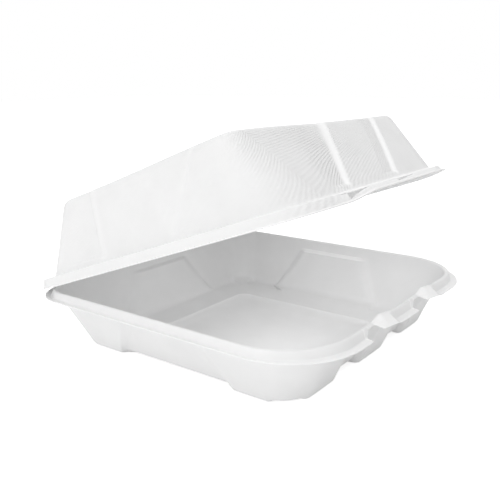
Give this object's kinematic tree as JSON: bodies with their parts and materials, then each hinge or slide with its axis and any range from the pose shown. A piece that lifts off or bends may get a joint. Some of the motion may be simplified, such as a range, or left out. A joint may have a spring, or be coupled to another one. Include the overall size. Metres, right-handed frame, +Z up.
{
  "type": "hinged clamshell food container",
  "caption": "Open-standing clamshell takeaway box in moulded sugarcane pulp: square tray with flutes and feet, domed lid on a rear fold, locking tabs in the front rim",
  "frame": {"origin": "on the table, in the middle of the tray's outline, halfway between the front lip and the fold", "axes": "+Z up, -Y toward the front rim with the locking tabs, +Y toward the fold, +X to the right seen from the front"},
  "size_m": [0.203, 0.2042, 0.1335],
  "materials": {
    "pulp": "matte bleached moulded pulp"
  },
  "bodies": {
    "tray": {"base_tray": "pulp"},
    "lid": {"hinged_lid": "pulp"}
  },
  "joints": [
    {"name": "fold", "type": "hinge", "parent": "tray", "child": "lid", "pos_m": [0, 0.1021, 0.032], "axis": [-1, 0, 0], "range_deg": [-18.2, 160.3]}
  ]
}
